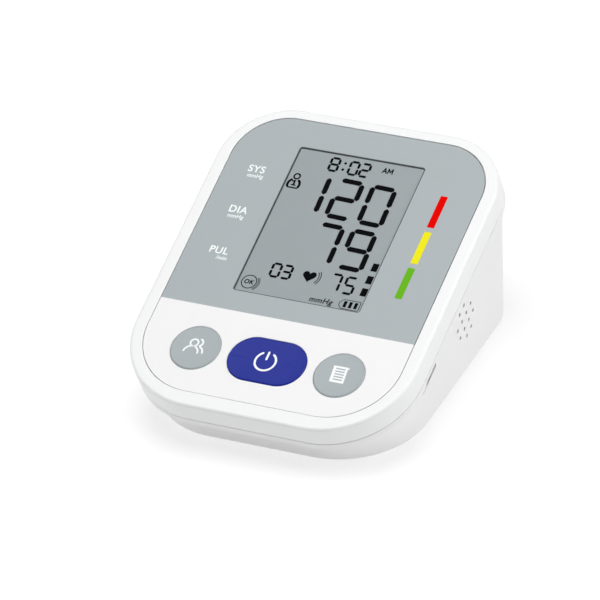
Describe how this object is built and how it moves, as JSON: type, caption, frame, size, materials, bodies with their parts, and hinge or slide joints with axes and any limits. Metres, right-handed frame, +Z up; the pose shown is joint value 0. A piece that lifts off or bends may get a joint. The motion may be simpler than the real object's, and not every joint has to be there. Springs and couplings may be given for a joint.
{
  "type": "upper arm blood pressure monitor",
  "caption": "Upper arm blood pressure monitor: white wedge case with a tilted face, large reading display, press keys, air pump, release valve, air socket and hinged battery door.",
  "frame": {"origin": "middle of the bounding box, on the surface that the rubber feet stand on", "axes": "+X to the right as the user faces the display, +Y to the back of the case, +Z up"},
  "size_m": [0.1112, 0.13, 0.0653],
  "materials": {
    "case_white": "fine satin moulded",
    "panel_print": "printed film, grey above and white below",
    "clear_window": "clear, polished",
    "display_glass": "grey-green liquid crystal cell",
    "white_sheet": "white film",
    "key_grey": "satin",
    "key_blue": "satin",
    "inner_plastic": "moulded",
    "dark_plastic": "moulded",
    "elastomer": "layered silicone",
    "board_green": "solder mask",
    "steel": "plated",
    "black_rubber": "matt",
    "grey_rubber": "matt",
    "silicone": "translucent silicone",
    "cell_wrap": "plastic sleeve"
  },
  "bodies": {
    "case": {"upper_case": "case_white", "lower_case": "case_white", "face_panel": "panel_print", "display_window": "clear_window", "lcd_glass": "display_glass", "lcd_reflector": "white_sheet", "lcd_holder": "inner_plastic", "zebra_strip_rear": "elastomer", "zebra_strip_front": "elastomer", "main_board": "board_green", "controller_chip": "dark_plastic", "user_switch": "dark_plastic", "power_switch": "dark_plastic", "memory_switch": "dark_plastic", "pressure_sensor": "dark_plastic", "battery_cell_1": "cell_wrap", "battery_cell_2": "cell_wrap", "battery_cell_3": "cell_wrap", "battery_cell_4": "cell_wrap", "front_contact_left": "steel", "front_contact_middle": "steel", "front_contact_right": "steel", "back_contact_left": "steel", "back_contact_right": "steel", "pump_motor_can": "steel", "pump_head": "inner_plastic", "pump_diaphragm": "black_rubber", "pump_cap": "inner_plastic", "valve_body": "steel", "air_manifold": "inner_plastic", "hose_pump": "silicone", "hose_valve": "silicone", "hose_sensor": "silicone", "hose_socket": "silicone", "air_socket": "inner_plastic", "power_socket": "steel", "speaker": "dark_plastic", "speaker_lead": "black_rubber", "motor_lead": "black_rubber", "battery_lead": "black_rubber", "case_screw_1": "steel", "board_screw_1": "steel", "foot_1": "grey_rubber", "case_screw_2": "steel", "board_screw_2": "steel", "foot_2": "grey_rubber", "case_screw_3": "steel", "board_screw_3": "steel", "foot_3": "grey_rubber", "case_screw_4": "steel", "board_screw_4": "steel", "foot_4": "grey_rubber"},
    "user_key": {"user_button": "key_grey"},
    "power_key": {"power_button": "key_blue"},
    "memory_key": {"memory_button": "key_grey"},
    "door": {"battery_door": "case_white"},
    "rotor": {"pump_rotor": "steel"},
    "valve_pin": {"valve_plunger": "steel"}
  },
  "joints": [
    {"name": "user_key_press", "type": "slide", "parent": "case", "child": "user_key", "axis": [0, 0.3223, -0.9466], "range_m": [0, 0.001], "stiffness_N_per_m": 1500},
    {"name": "power_key_press", "type": "slide", "parent": "case", "child": "power_key", "axis": [0, 0.3223, -0.9466], "range_m": [0, 0.001], "stiffness_N_per_m": 1500},
    {"name": "memory_key_press", "type": "slide", "parent": "case", "child": "memory_key", "axis": [0, 0.3223, -0.9466], "range_m": [0, 0.001], "stiffness_N_per_m": 1500},
    {"name": "battery_door_hinge", "type": "hinge", "parent": "case", "child": "door", "pos_m": [0, -0.03077, 0.00215], "axis": [-1, 0, 0], "range_deg": [0, 75]},
    {"name": "pump_rotor_spin", "type": "hinge", "parent": "case", "child": "rotor", "pos_m": [0, 0.04233, 0.02], "axis": [1, 0, 0], "continuous": true},
    {"name": "valve_plunger_slide", "type": "slide", "parent": "case", "child": "valve_pin", "axis": [0, 0, 1], "range_m": [-0.0008, 0], "stiffness_N_per_m": 400}
  ]
}
